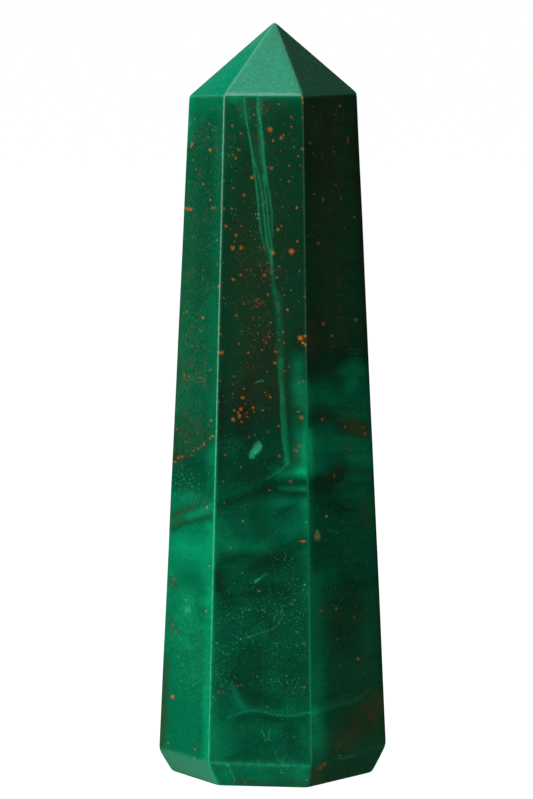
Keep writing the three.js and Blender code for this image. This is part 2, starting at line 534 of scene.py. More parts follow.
def pattern_places(points):
    """Where each point lies in the pattern, which runs on round the back, moved and bent there.

    All of it is a little ragged. The distances are in pixels of the picture.
    """
    across, down = seen_at(points)
    turn = np.degrees(np.arctan2(points[:, 1], points[:, 0]))
    behind = np.radians(np.clip(turn - 3, 0, 182) / 182 * 180)
    hidden = np.sin(behind)
    across = across + 14 * hidden * wobble(points, 18, 5)
    down = down + hidden * (34 + 30 * wobble(points, 22, 6)) + 45 * np.sin(2 * behind)
    near = 1.2 * wobble(points, 3.2, 7) + 0.8 * wobble(points, 1.1, 8)
    far = 1.2 * wobble(points, 3.2, 9) + 0.8 * wobble(points, 1.1, 10)
    return np.stack([across + near, down + far], axis=1)


def painted(places, side_share, strokes):
    """The sum of soft strokes at each place, each kept to its own side of the stone."""
    total = np.zeros(len(places))
    for side, rows in strokes.items():
        for amount, width, feather, path in rows:
            gap = distance_to_path(places, smooth_path(path))
            total += amount * side_share[side] * (1 - smoothstep(gap, width - feather, width + feather))
    return total


def shares_by_side(share):
    """How much each point is of the left, the front and the right, in the shaft, the bevel and the point.

    A hidden side counts as the one that it is like.
    """
    parts = [dict.fromkeys(TONES_LIT_AND_SHADED, 0) for _ in range(3)]
    for part, shares in enumerate(parts):
        for k, side in enumerate(SIDES):
            like = LIKE.get(side, side)
            shares[like] = shares[like] + share[:, part * COUNT + k]
    return parts


def by_side(side_share, values):
    """Each point's own value where the values are given for the left, the front and the right."""
    return sum(side_share[side] * value for side, value in values.items())


def tone_of(points, places, share):
    """How bright the green is at each point, with the painted light and shade of each side, and with
    clouds and fainter bands behind.
    """
    shaft, bevel, point = shares_by_side(share)
    tone = share[:, -1] * BASE_TONE
    for side, levels in TONES_LIT_AND_SHADED.items():
        heights, values = zip(*levels)
        tone += shaft[side] * np.interp(places[:, 1], heights, values)
    tone += by_side(bevel, BEVEL_TONES_LIT_AND_SHADED) + by_side(point, POINT_TONES_LIT_AND_SHADED)
    tone += painted(places, bevel, BEVEL_BANDS)
    behind = sum(share[:, SIDES.index(side)] for side in LIKE)
    clouds = HIDDEN_CLOUDS * wobble(points, 6, 11)
    bands = painted(places, shaft, BANDS) * (1 - (1 - HIDDEN_BANDS) * behind)
    return tone + bands + behind * clouds


# Wear and painted highlight: how pale the edges between facets are, 1 at the palest.
# The paleness is partly real wear and partly a painted highlight, strongest on the ridges that face the
# lamps.

WEAR_AND_HIGHLIGHTS = {
    ("left", "front"): 0.95,
    ("front", "right"): 0.32,
    ("right", "back right"): 0.05,
    ("point right", "point back right"): 0.1,
    ("point left", "point front"): 0.85,
    ("point front", "point right"): 0.45,
    ("left", "point left"): 0.35,
    ("front", "point front"): 0.0,
    ("right", "point right"): 0.15,
    ("front", "bevel front"): 0.5,
    ("left", "bevel left"): 0.15,
    ("right", "bevel right"): 0.08,
    ("bevel left", "bevel front"): 0.65,
    ("bevel front", "bevel right"): 0.2,
}
PLAIN_WEAR_AND_HIGHLIGHT = 0.4

# The wear and the painted highlight grow wider and weaker from the second of these heights down to the
# first
LOW_HEIGHTS = (34, 50)


def wear_and_highlight_of(height, share):
    """How pale each point's edge is, from real wear and a painted highlight: most in the middle of an
    edge, and more widely low down.
    """
    names = [part + side for part in ("", "bevel ", "point ") for side in SIDES] + ["base"]
    strength = np.full((len(names), len(names)), PLAIN_WEAR_AND_HIGHLIGHT)
    for (first, second), amount in WEAR_AND_HIGHLIGHTS.items():
        i, j = names.index(first), names.index(second)
        strength[i, j] = strength[j, i] = amount
    strength[-1, :] = strength[:, -1] = 0
    order = np.argsort(-share, axis=1)
    rows = np.arange(len(share))
    most, next_most = order[:, 0], order[:, 1]
    low_down = 1 - smoothstep(height, *LOW_HEIGHTS)
    edge = (share[rows, next_most] / share[rows, most]) ** (1.3 - 0.5 * low_down)
    return strength[most, next_most] * (1 - 0.25 * low_down) * edge


# Marks: single specks and thin lines in the stone, each drawn sharply by the faces it crosses

ORANGE = (0.5, 0.108, 0.011)
RUSTY = (0.24, 0.055, 0.010)
DULL_ORANGE = (0.16, 0.048, 0.012)
DARK_RED = (0.070, 0.020, 0.008)
UMBER = (0.035, 0.038, 0.015)
DEEP = (0.001, 0.018, 0.010)
MINT = (0.05, 0.44, 0.24)
EMERALD = (0.022, 0.36, 0.18)
GREEN = (0.012, 0.20, 0.095)
LEAF = (0.004, 0.21, 0.080)
WHITE = (0.60, 0.66, 0.58)
BEIGE = (0.20, 0.19, 0.065)

# A mark is its two ends, its form (half its width, its feather and its strength) and its tint
MARK_VALUES = ("from", "to", "form", "tint")

# How many lines and specks a face can draw, and how near they have to be to reach it
LINE_SLOTS = 6
SPECK_SLOTS = 3
MARK_REACH = 0.45

# Short marks to a stretch of a line, and how far they run on over their joints, as a face draws but one
LINE_STEPS = 5
JOINT_REACH = 0.3

# How much of a speck's radius is its core, and its feather
SPECK_CORE = 0.65
SPECK_FEATHER = 0.6

# Pixels to a millimetre on the front of the stone
SCALE = 8.4

# Specks of orange jasper: how strong each group is, and where its specks show, with their radius in pixels
PLAIN_STRENGTH = 0.47
ORANGE_SPECKS = {
    "left facet, top": (0.64, [
        (192, 144, 1.6), (210, 150, 1.9), (203, 184, 1.3), (188, 209, 2.2), (191, 209, 1.8),
        (212, 208, 1.2), (193, 160, 1), (196, 169, 0.9), (208, 137, 1), (210, 200, 1),
        (185.5, 208, 1.5), (209, 124, 1), (213, 130, 0.9), (194.6, 119, 1), (191, 146.5, 1.1),
    ]),
    "left facet, middle": (0.52, [
        (187, 312, 1.2), (203, 318, 1.7), (201, 331, 1), (192, 346, 0.9), (210, 370, 1),
        (184, 375, 1.1), (189, 376, 1.3), (201, 378, 0.9), (191, 420, 0.9), (209, 426, 1),
        (211, 420.5, 1.4), (197, 432.6, 0.9), (176.5, 429, 0.9), (186.5, 442.6, 0.9),
    ]),
    "slanting row": (0.45, [
        (174, 462, 1.3), (178, 458, 1.6), (182, 457, 1.5), (191, 455, 1), (198, 448.5, 1.2),
        (204, 444, 1.5), (210, 438.5, 1.2), (213, 436, 1.4), (216, 431, 1.3), (175.5, 461.5, 1.2),
        (193.5, 451, 1), (180, 456, 1.3), (211.5, 436.5, 1.3), (201.5, 446, 1),
    ]),
    "left facet, foot": (0.65, [
        (172.6, 697, 2.3), (206, 611, 1.2), (168, 743, 1), (195, 749.5, 1.1), (182, 681, 0.7),
        (207, 507, 1.6), (209.3, 566, 0.9),
    ]),
    "front facet, top": (PLAIN_STRENGTH, [
        (270, 129.5, 3), (281, 138, 1.9), (279.5, 104, 1.5), (232, 126, 1.6), (241, 134, 1.4),
        (239, 150, 1.7), (236, 158, 1.6), (233, 155, 1.3), (229, 155.5, 1.2), (273, 140.5, 1.3),
        (289, 166, 1.3), (271.5, 168, 1.7), (252, 177.5, 1.9), (289, 181.5, 1.4), (303, 149, 1.9),
        (303, 118, 1.6), (303, 101, 1.4), (244, 195, 2), (297, 208, 1.8), (254, 115, 1.4),
        (291, 127, 1.3), (298, 156, 1.3), (283.5, 135, 1.1), (281, 151, 0.9), (233, 188, 1.2),
    ]),
    "front facet, upper middle": (PLAIN_STRENGTH, [
        (226, 226, 1.8), (278, 230, 1.8), (236, 235, 1.9), (232.8, 247.7, 2.6), (241, 247.7, 2.4),
        (273.5, 253, 2.2), (291.5, 251.5, 3.3), (281.5, 226, 1.2), (258.2, 214, 1.4), (231.8, 209, 1.3),
        (297.5, 241.5, 1.3), (260, 247, 1), (240.8, 275, 2), (233, 279.5, 2), (264.4, 275, 2.1),
        (277, 277.5, 1.6), (218.5, 286.3, 2.2), (279, 266, 1.2), (268, 294.5, 1.5), (305.3, 296.4, 1.7),
        (287.4, 309.7, 1.7), (236, 315.4, 1.5), (243.5, 304, 1.1), (260, 318, 1.2), (230.3, 229, 1),
        (241, 225.7, 1.1), (255.4, 239, 0.9), (290.8, 290.3, 1.1), (299.2, 271.2, 1.1),
        (284.3, 295.2, 0.9), (234.5, 241.5, 1),
    ]),
    "cluster by the right ridge": (0.86, [
        (302.6, 97.5, 1.7), (303.4, 102.5, 1.5), (300.3, 338.2, 3), (305.4, 336, 2.2), (303, 343, 1.7),
        (305.5, 345, 1.7),
    ]),
    "front facet, lower middle": (PLAIN_STRENGTH, [
        (221.8, 352.8, 2.6), (248.5, 352.6, 1.4), (262, 350, 1.4), (275, 351.7, 1.5), (275, 363, 2),
        (238.8, 343.5, 1.4), (283.2, 332.3, 1.4), (268, 334, 1.3), (267.4, 371.5, 1.1),
        (234.3, 376.5, 1), (244, 388.5, 1.5), (265.4, 392.3, 1.2), (269.7, 397, 1.6),
        (303.5, 380.8, 1.3), (299, 382.3, 1), (266.5, 342.8, 1.3), (218.8, 327.4, 1.7),
        (220, 334.3, 1.4), (270.8, 322.3, 1.2), (233, 384.8, 0.9), (233, 393.8, 0.9), (218.5, 401.4, 1),
        (278.5, 352, 1), (219.5, 352.5, 1.6),
    ]),
    "cluster in the front": (0.5, [
        (233, 419.2, 2.3), (240.8, 409.2, 2), (239.5, 416, 2.3), (242.8, 398, 2.1), (253, 407.7, 1.6),
        (253.8, 412, 1), (263, 410.2, 1.5), (234.3, 410.5, 1.2), (241.5, 422, 1.4), (247, 413, 1),
        (247, 417, 1), (238, 412.5, 1.4),
    ]),
    "front facet, lower": (0.5, [
        (301.5, 417.7, 2.2), (298.5, 411.5, 1.3), (279.6, 455.8, 1.7), (248.8, 437.2, 1.1),
        (255, 435.4, 1.1), (278.5, 426, 1.2), (240.8, 467, 1), (225, 454.6, 0.9), (269.6, 490, 1.1),
        (224.4, 502.6, 1.1), (243, 521.5, 1.1), (302.7, 541.5, 1.9), (300.5, 541, 1.2),
        (305, 541.2, 1.2), (223, 481.5, 1), (245.5, 504.3, 0.8),
    ]),
    "front facet, foot": (PLAIN_STRENGTH, [
        (258.8, 591, 1.3), (297.6, 579.4, 1.1), (294.3, 600, 1.3), (291.8, 604, 1.3), (305.4, 610, 1),
        (297.2, 631.7, 1.2), (304.6, 644.6, 1.1), (297, 646, 1), (223, 653, 1), (304.3, 687.4, 1.1),
        (293, 693.2, 1.1),
    ]),
    "right facet": (PLAIN_STRENGTH, [
        (322.3, 419.2, 1.6), (336.2, 608.5, 1.3), (358, 659, 1.8), (340, 755.4, 1.2), (333.8, 152, 0.9),
        (354.3, 217, 1), (314, 193.8, 1), (332.3, 335.8, 1.6), (338.5, 295.2, 0.9), (329, 744, 0.7),
    ]),
    "by the ridges": (PLAIN_STRENGTH, [
        (217, 240, 1), (220.5, 247, 1), (217, 264.6, 1.1), (223.5, 180.8, 1.3), (214.6, 207.7, 1.2),
        (223.5, 208.5, 1.7), (223.8, 297.8, 1), (218, 303, 0.9),
    ]),
}

# Specks on the hidden facets: how many, between which turns and heights, and least and largest radius
HIDDEN_SPECKS = 90
HIDDEN_TURNS = (0.1, 3.1)
HIDDEN_HEIGHTS = (26, 79)
HIDDEN_RADII = (0.6, 2.4)
SPECK_SEED = 7

# Dull specks and smudges of rust, with their radius in pixels
RUSTY_SPECKS = [
    (291.5, 117.4, 1.8), (300, 165, 1.3), (273, 235.4, 1.2), (284.3, 342.8, 1.2), (285, 370.8, 1.5),
    (289, 367, 1.4), (220.2, 380.8, 1.4), (267.3, 431.5, 1.4), (265, 463.8, 1), (290.4, 481.5, 1.9),
    (230, 548, 1.6), (296.5, 451, 2.4), (299, 446, 1.6), (295, 387, 1), (278, 622.8, 1.2),
    (238, 685.7, 1.5), (241, 685, 1.2), (219, 692, 1.3), (222.5, 692.4, 1.3), (244.6, 610, 0.9),
    (181.8, 681, 0.9), (340, 105.4, 2.2), (344.6, 227.7, 1.2), (318.5, 243, 1.8), (310, 143, 1.6),
    (336, 184.6, 1.2), (323, 199, 1.8), (323.8, 323.8, 2.4), (356, 320, 2.2), (333, 347, 1),
    (337.7, 639, 1.6), (321.5, 610.8, 2), (173.5, 579.5, 1.7), (171.8, 585, 1.2), (172.5, 625, 1.7),
    (175.5, 631, 1.2), (244.6, 782.3, 1.6), (365, 433.8, 2.2), (345, 427, 2), (363, 427, 1.6),
    (324.8, 764.5, 3), (320.5, 768, 2.6), (280.5, 770, 1.2),
]

# Pale dots, flecks and inclusions of each tint: where, radius in pixels and strength
PALE_SPECKS = [
    (WHITE, [
        (326.9, 515.9, 1.1, 0.9), (307, 780, 1, 0.5), (193.7, 758.3, 0.9, 0.5), (281.5, 773, 0.7, 0.5),
    ]),
    (MINT, [
        (255.5, 214.5, 1, 0.5), (257, 218.5, 1, 0.45), (255, 453.5, 1.1, 0.45), (250.4, 458, 0.8, 0.5),
        (253.5, 458.8, 0.8, 0.45), (304.7, 584.6, 1.2, 0.8), (306.5, 522.5, 1.1, 0.6),
        (306.9, 526, 0.8, 0.4), (306.1, 519.3, 0.7, 0.4), (256.5, 580.8, 2.2, 0.4),
        (254.5, 582.8, 1.2, 0.4), (259, 579, 1.4, 0.35), (240.8, 638.8, 1.1, 0.7),
        (262.5, 610, 0.9, 0.7), (242, 573, 0.9, 0.5), (187.7, 609.5, 4.5, 0.3), (186, 600, 2, 0.25),
        (227, 765.5, 3, 0.25),
    ]),
    (BEIGE, [
        (317.5, 536.6, 4.5, 0.52), (317.3, 532, 2.6, 0.42),
    ]),
]

# Glints in the pale cloud low on the left: where, and the radius and strength of them all
GLINTS = [
    (184.1, 478.9), (182.3, 474.6), (185.9, 483.1), (181.7, 498.2), (190.2, 493.9), (194.4, 495.7),
    (196.2, 498.2), (175.7, 483.7), (198.6, 483.7), (189.6, 479.5), (193.2, 477.6), (172.4, 501.8),
    (173.3, 506), (189.6, 497.6), (208.3, 472.8), (187.4, 488), (179.5, 492), (192, 486.5),
]
GLINT_RADIUS = 0.75
GLINT_STRENGTH = 0.55

# Fine lines: tint, half the width and the feather in pixels, strength at each end, and the path.
# The veins run down from the top, the arcs cross the facets, and the streaks run down on the right.
VEINS = [
    (LEAF, 4.2, 3.4, 0.1, 0.16, [(256, 150), (261, 180), (265, 215), (269, 248)]),
    (GREEN, 0.9, 0.9, 0.65, 0.6, [
        (244, 98), (245, 110), (246.7, 122), (249, 134), (251, 146), (252.6, 158), (254.2, 170),
        (256, 182), (257, 194), (258.3, 206), (259.2, 218),
    ]),
    (GREEN, 0.8, 1, 0.6, 0.15, [(259.2, 218), (260.5, 230), (263, 242), (267, 254), (270.5, 262)]),
    (GREEN, 0.8, 0.9, 0.45, 0.55, [
        (253.5, 158), (257, 170), (260, 182), (262, 194), (263, 206), (264.2, 218), (265.5, 230),
        (267, 242), (270, 254), (271.5, 264),
    ]),
    (GREEN, 0.8, 0.9, 0.45, 0.4, [
        (263.5, 176), (264.5, 184), (265.7, 194), (267, 206), (268, 218), (269, 230), (271, 242),
        (272.5, 254),
    ]),
    (GREEN, 2.2, 1.8, 0.38, 0.35, [
        (260, 97), (259.5, 110), (259.5, 122), (260.5, 134), (261.5, 146), (262.5, 158), (264.5, 170),
        (266, 182),
    ]),
    (GREEN, 1.1, 0.8, 0.65, 0.3, [
        (257.3, 97), (257.8, 110), (260.2, 122), (262, 134), (262.9, 146), (263.8, 158), (265.2, 170),
        (266.8, 182), (269.2, 194), (270.8, 206), (272, 218), (272.3, 232),
    ]),
    (GREEN, 1.5, 1.5, 0.48, 0.05, [
        (271.5, 250), (271.5, 262), (272.3, 275), (274, 290), (277.5, 305), (279.5, 325),
    ]),
    (LEAF, 3.4, 2.8, 0.16, 0.14, [(275, 292), (278, 305), (279.5, 325), (280, 340), (281, 365)]),
    (LEAF, 2.4, 2.4, 0.26, 0.5, [
        (280.5, 360), (281, 380), (282.5, 395), (283.5, 410), (284.3, 425), (285.5, 440), (286.5, 455),
        (287, 463),
    ]),
    (LEAF, 0.8, 0.9, 0.18, 0.4, [
        (278.5, 372), (280.5, 385), (281.2, 395), (281, 410), (281.8, 425), (282.5, 440), (285.5, 452),
    ]),
    (GREEN, 0.9, 1, 0.45, 0.2, [(288, 463), (282, 469), (275, 474), (267, 479)]),
]
ARCS = [
    (DEEP, 1.4, 1.4, 0.15, 0.36, [(266, 484), (280, 483.5), (294, 483), (308, 482)]),
    (DEEP, 1.5, 1.3, 0.5, 0.45, [
        (214, 505.5), (231, 503.8), (241, 498), (251, 492.5), (268, 488), (279, 491.5), (291, 494),
        (308, 494),
    ]),
    (EMERALD, 1.2, 1.3, 0.03, 0.12, [(280, 488), (292, 489), (308, 489.5)]),
    (DEEP, 1.6, 1.6, 0.2, 0.55, [(243, 556), (268, 555), (283, 546.5), (296, 541), (303, 539)]),
    (DEEP, 1.4, 1.6, 0.1, 0.3, [(279, 514), (288, 509), (297, 505)]),
    (UMBER, 1.4, 1.6, 0.55, 0.35, [
        (172, 515), (179, 514.5), (186, 510), (192, 508.5), (198, 503), (204, 500),
    ]),
    (DEEP, 1.3, 1.5, 0.42, 0.32, [
        (173, 531), (178, 528), (184, 523.5), (192, 522.5), (200, 519), (211, 517),
    ]),
    (MINT, 0.6, 1, 0.12, 0.14, [(281.5, 606), (282.3, 616), (275.4, 627), (263, 632.5), (247.7, 637)]),
    (EMERALD, 2.2, 2.4, 0.12, 0.08, [(232, 685), (238.5, 700), (241.5, 706)]),
    (EMERALD, 0.8, 1.1, 0.14, 0.18, [
        (228.5, 717), (236, 714.4), (245, 711.9), (255, 710.6), (266, 712.5),
    ]),
    (EMERALD, 0.8, 1.1, 0.18, 0.22, [
        (266, 712.5), (272.5, 714.4), (281, 715.6), (292.5, 715.6), (301, 713.8), (310, 712.5),
    ]),
    (EMERALD, 1.4, 1.8, 0.12, 0.05, [(309, 713), (325, 710), (340, 705), (355, 700.5), (371, 688.5)]),
    (MINT, 0.6, 0.9, 0.35, 0.3, [(229, 766), (230.6, 771), (233, 776), (234.6, 781)]),
    (MINT, 0.5, 0.8, 0.14, 0.2, [(275.5, 752), (277.5, 759), (283, 764.5)]),
    (MINT, 0.6, 0.9, 0.14, 0.24, [(283.5, 759), (282.5, 764), (285, 768)]),
    (MINT, 0.6, 0.9, 0.15, 0.2, [(257.5, 760), (258.7, 767)]),
    (MINT, 0.4, 0.8, 0.25, 0.25, [(212.5, 697.5), (215, 700), (213, 703), (210.5, 701), (212, 698)]),
    (MINT, 0.5, 0.8, 0.1, 0.4, [(308.8, 560), (309.8, 640), (310.6, 700), (311.4, 762)]),
    (MINT, 0.5, 0.9, 0.18, 0.1, [(338.7, 759), (350, 757), (358.6, 754.6)]),
    (MINT, 0.7, 1, 0.16, 0.08, [(173, 631), (181, 639)]),
    (EMERALD, 3.5, 2.8, 0.52, 0.46, [(257.6, 446.5), (256.2, 450)]),
    (EMERALD, 2.8, 2.1, 0.5, 0.56, [(253.4, 452), (252, 455.5)]),
    (MINT, 0.9, 1.1, 0.3, 0.35, [(259.5, 443.5), (260, 448), (256.5, 452)]),
    (MINT, 0.5, 0.7, 0.2, 0.5, [(257, 382.5), (259.5, 381.3), (262, 381.3)]),
    (MINT, 0.8, 1, 0.14, 0.05, [(258, 579.5), (266.5, 574)]),
    (MINT, 0.5, 0.8, 0.35, 0.3, [(261.5, 731), (266.9, 738.7), (270, 730)]),
]
STREAKS = [
    (DULL_ORANGE, 1.2, 1.2, 0.55, 0.55, [(348, 138), (348, 143)]),
    (DARK_RED, 1.5, 1.5, 0.55, 0.55, [(322.3, 154), (322.3, 159)]),
    (RUSTY, 1, 1, 0.55, 0.55, [(341.2, 197), (341.2, 199)]),
    (DARK_RED, 1.4, 1.4, 0.55, 0.55, [(323, 197), (323, 201)]),
    (RUSTY, 1.4, 1.4, 0.55, 0.55, [(334.2, 474.5), (334.2, 476.5)]),
    (DARK_RED, 1.5, 1.5, 0.55, 0.55, [(370.2, 477.5), (370.2, 480)]),
    (RUSTY, 1, 1, 0.55, 0.55, [(354.6, 616.5), (354.6, 618.5)]),
]


def line(curve, width, feather, first, last, tint):
    """A curve as a group of short straight marks, from its first strength to its last."""
    strengths = np.linspace(first, last, len(curve) - 1)
    marks = []
    for i, strength in enumerate(strengths):
        start, end = curve[i], curve[i + 1]
        spare = (end - start) / np.linalg.norm(end - start) * JOINT_REACH
        start = start - spare * (i > 0)
        end = end + spare * (i < len(strengths) - 1)
        marks.append((start, end, (width / SCALE, feather / SCALE, strength), tint))
    return marks


def drawn_lines():
    """The lines that show in the picture, cast onto the stone."""
    rows = VEINS + ARCS + STREAKS
    return [line(cast(smooth_path(path, LINE_STEPS)), *form, tint) for tint, *form, path in rows]


def speck(place, aside, radius, strength, tint):
    """A soft dot as a group of one mark, drawn out by so much to both sides."""
    form = (SPECK_CORE * radius / SCALE, SPECK_FEATHER * radius / SCALE, strength)
    return [(place - aside, place + aside, form, tint)]


def seen_speck(x, y, radius, strength, tint):
    """A dot where it shows, drawn out as far as it needs to look round on a slanting facet."""
    inwards = radius if x < FRAME_WIDTH / 2 else -radius
    place, edge = cast([(x, y), (x + inwards, y)])
    reach = edge - place
    length = np.linalg.norm(reach)
    aside = SPECK_CORE * reach * max(0, 1 - radius / SCALE / length)
    return speck(place, aside, radius, strength, tint)


def hidden_place(random):
    """A random place on the facets that face away from the camera, more often high up."""
    low, high = HIDDEN_HEIGHTS
    turn = random.uniform(*HIDDEN_TURNS)
    height = UP * random.triangular(low, 0.8 * high, high)
    outwards = np.array([cos(turn), sin(turn), 0])
    towards = NORMALS @ outwards
    reach = (DISTANCES - NORMALS @ height)[towards > 0.1] / towards[towards > 0.1]
    return height + outwards * reach.min()


def drawn_specks():
    """The specks that show in the picture, cast onto the stone, and others behind."""
    random = np.random.default_rng(SPECK_SEED)
    specks = []
    for strength, group in ORANGE_SPECKS.values():
        for x, y, radius in group:
            level = (strength + 0.03 * (radius - 1.5)) * random.uniform(0.8, 1.2)
            specks.append(seen_speck(x, y, radius, level, ORANGE))
    low, high = HIDDEN_RADII
    for _ in range(HIDDEN_SPECKS):
        place = hidden_place(random)
        radius = low + (high - low) * random.uniform(0, 1) ** 3
        specks.append(speck(place, np.zeros(3), radius, random.uniform(0.35, 0.75), ORANGE))
    specks += [seen_speck(*dot, random.uniform(0.4, 0.7), RUSTY) for dot in RUSTY_SPECKS]
    specks += [seen_speck(*dot, tint) for tint, dots in PALE_SPECKS for dot in dots]
    return specks + [seen_speck(*dot, GLINT_RADIUS, GLINT_STRENGTH, MINT) for dot in GLINTS]


def marks_by_face(groups, centres):
    """The nearest mark of each group that reaches each face, after its gap to the face's middle."""
    reached = {}
    for number, marks in enumerate(groups):
        gaps = [distance_to_path(centres, (start, end)) - width - feather
                for start, end, (width, feather, _), _ in marks]
        gap, nearest = np.min(gaps, axis=0), np.argmin(gaps, axis=0)
        for index in np.flatnonzero(gap < MARK_REACH):
            reached.setdefault(index, {})[number] = (gap[index], marks[nearest[index]])
    return reached


def set_marks(mesh, kind, slots, groups, centres):
    """Gives each face the marks that reach it, up to so many slots of them."""
    table = {name: np.zeros((slots, len(centres), 3)) for name in MARK_VALUES}
    table["form"][:, :, 1] = 1
    for index, nearest in marks_by_face(groups, centres).items():
        closest = sorted(nearest, key=lambda number: nearest[number][0])[:slots]
        for slot, number in enumerate(sorted(closest)):
            for values, value in zip(table.values(), nearest[number][1]):
                values[slot, index] = value
    for name, values in table.items():
        for slot in range(slots):
            layer = mesh.attributes.new(f"{kind} {name} {slot}", "FLOAT_VECTOR", "FACE")
            layer.data.foreach_set("vector", values[slot].ravel())


# Grain: how thick the fine mint sparkle and the small orange specks are, in places on the facets

SPARKLES = {
    "front": [
        (0.6, 8, 7, [(225, 446), (238, 443)]),
        (0.28, 12, 12, [(284, 566), (300, 600)]),
        (0.5, 8, 7, [(224, 622), (236, 626)]),
        (0.4, 8, 8, [(240, 640), (262, 632)]),
        (0.7, 9, 9, [(220, 652), (222, 684)]),
        (0.35, 18, 18, [(288, 620), (285, 690)]),
        (0.35, 14, 12, [(240, 600), (268, 606)]),
        (0.4, 6, 8, [(283, 735), (262, 757)]),
        (0.03, 20, 20, [(240, 130), (240, 320)]),
    ],
    "left": [
        (0.9, 12, 10, [(178, 480), (190, 490), (203, 497)]),
        (0.25, 14, 12, [(178, 470), (200, 470)]),
        (0.9, 15, 12, [(188, 632), (194, 655), (197, 680)]),
        (0.4, 9, 9, [(187, 598), (188, 612)]),
        (0.12, 20, 20, [(195, 130), (190, 420)]),
    ],
    "right": [
        (0.16, 18, 16, [(335, 500), (350, 600)]),
        (-0.03, 26, 10, [(334, 100), (336, 340)]),
    ],
}
DENSE_SPECKS = {
    "left": [
        (0.85, 22, 16, [(205, 120), (200, 210), (192, 330), (188, 440)]),
        (0.5, 7, 6, [(183, 378), (205, 378)]),
    ],
    "front": [
        (0.55, 16, 14, [(240, 130), (242, 220), (250, 300), (250, 420)]),
        (0.6, 22, 20, [(270, 120), (270, 330)]),
        (0.2, 12, 12, [(268, 240), (272, 400)]),
        (0.5, 8, 8, [(232, 106), (262, 107)]),
    ],
    "right": [
        (0.45, 22, 20, [(330, 110), (335, 340)]),
        (0.6, 18, 14, [(345, 415), (355, 440)]),
        (0.35, 20, 20, [(345, 480), (350, 690)]),
    ],
}
POINT_SPARKLES = {"left": 0.22, "front": 0.20, "right": 0.03}
PLAIN_SPARKLE = 0.02


def make_stone():
    points, faces, share = stone_shape()
    mesh = bpy.data.meshes.new("stone")
    mesh.from_pydata(points * MM, [], faces)
    mesh.shade_smooth()
    places = pattern_places(points)
    shaft, bevel, point = shares_by_side(share)
    stains = painted(places, shaft, RUSTS) + painted(places, bevel, BEVEL_STAINS)
    paints = {
        # Tone, with the painted light and shade of each side
        "tone": tone_of(points, places, share),
        "rust": stains + by_side(bevel, BEVEL_RUSTS),
        # Real wear and a painted highlight along the edges
        "wear_and_highlight": wear_and_highlight_of(points[:, 2], share),
        "sparkle": PLAIN_SPARKLE + painted(places, shaft, SPARKLES) + by_side(point, POINT_SPARKLES),
        "specks": painted(places, shaft, DENSE_SPECKS),
        "streak": shaft["right"],
        # Teal, partly painted light on the point's lit facets
        "teal": by_side(point, POINT_TEALS_LIT_AND_SHADED),
        # Painted reflection on the left bevel and painted highlight along the point's left edge
        "painted_sheen": by_side(bevel, BEVEL_SHEENS) + painted(places, point, POINT_SHEENS),
        # A painted reflection haze over the point's right facet, and a darker patch at the tip
        "haze": by_side(point, POINT_REFLECTION_HAZES) + painted(places, point, TIP_DARKENING),
    }
    for name, values in paints.items():
        layer = mesh.attributes.new(name, "FLOAT", "POINT")
        layer.data.foreach_set("value", np.asarray(values, dtype=np.float32))
    centres = np.array([points[list(face)].mean(axis=0) for face in faces])
    set_marks(mesh, "line", LINE_SLOTS, drawn_lines(), centres)
    set_marks(mesh, "speck", SPECK_SLOTS, drawn_specks(), centres)
    return linked("stone", mesh)


# Material

# Albedo by tone, from black green to bright emerald
GREENS = [
    (0.00, (0.0050, 0.0100, 0.0062)),
    (0.25, (0.0012, 0.0270, 0.0118)),
    (0.50, (0.0004, 0.0600, 0.0265)),
    (0.75, (0.0004, 0.1250, 0.0520)),
    (1.00, (0.0010, 0.2600, 0.1080)),
]
# The bright teal of the point's lit facets, partly painted light
TEAL = (0.0022, 0.183, 0.103)
OLIVE = (0.018, 0.032, 0.007)
BROWN = (0.055, 0.024, 0.007)
# The tint of the painted sheen: a painted reflection and a painted highlight
SHEEN_TINT = (0.056, 0.285, 0.168)
# The dull tint of the painted reflection haze on the point's right facet, which also darkens the tip
SMOKE = (0.0165, 0.0555, 0.031)
# Tints of the painted highlight along the edges, and of the painted green glow in them low down, laid over
# real wear
CREAM = (0.075, 0.290, 0.155)
GLOW = (0.003, 0.45, 0.205)
PALE = (0.09, 0.48, 0.28)

# Small irregular specks of jasper: their size, tint, how rare they are, and how much they cover
DUSTS = [(0.60, DARK_RED, 0.73, 0.45), (0.28, DULL_ORANGE, 0.765, 0.6), (0.17, DULL_ORANGE, 0.74, 0.6)]

# The saw lines across the right facets run along this direction's level planes
STREAK_RISE = (-0.012, 0.084, 1)

# The wisps in the green rise to the right of the front by this angle
WISP_SLANT = radians(16)


